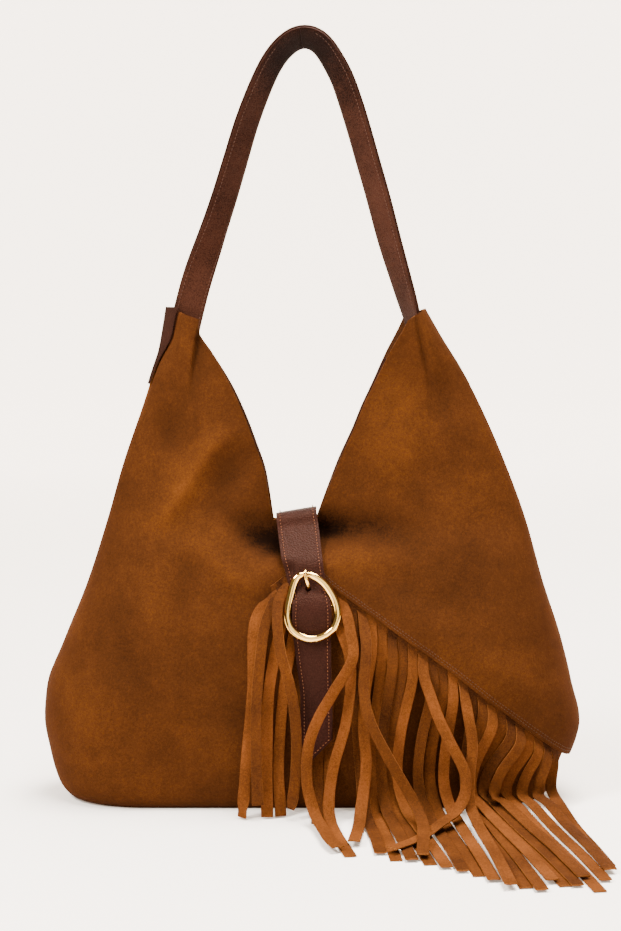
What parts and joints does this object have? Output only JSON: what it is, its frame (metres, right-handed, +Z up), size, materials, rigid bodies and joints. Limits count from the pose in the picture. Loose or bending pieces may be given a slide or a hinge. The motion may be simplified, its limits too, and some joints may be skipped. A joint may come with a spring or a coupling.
{
  "type": "fringed shoulder bag",
  "caption": "Slouchy suede shoulder bag with a diagonal fringe, a looped leather strap, and a closure strap woven through a metal ring buckle with a pivoting prong.",
  "frame": {"origin": "centre of the flat base, on the floor, midway between the two side seams", "axes": "+Z up, -Y out of the front with the fringe, +X to the right seen from the front"},
  "size_m": [0.4335, 0.321, 0.6173],
  "materials": {
    "suede": "tan suede with a soft cloudy nap",
    "fringe_suede": "tan suede, cut in strips",
    "dark_leather": "dark brown smooth leather",
    "lining_leather": "dark brown lining leather",
    "gold_metal": "polished pale gold plating"
  },
  "bodies": {
    "bag": {"front_panel": "suede", "front_overlay": "suede", "back_panel": "suede", "fringe": "fringe_suede", "front_facing_left": "dark_leather", "front_facing_right": "dark_leather", "back_facing_left": "dark_leather", "back_facing_right": "dark_leather", "peak_sleeve_left": "dark_leather", "peak_sleeve_right": "dark_leather", "shoulder_strap": "dark_leather", "shoulder_lining_left": "lining_leather", "shoulder_lining_right": "lining_leather", "closure_strap": "dark_leather", "closure_lining": "lining_leather", "buckle_ring": "gold_metal"},
    "prong": {"buckle_prong": "gold_metal"}
  },
  "joints": [
    {"name": "prong_pivot", "type": "hinge", "parent": "bag", "child": "prong", "pos_m": [-0.005, -0.061, 0.19007], "axis": [-1, 0, 0], "range_deg": [0, 100]}
  ]
}
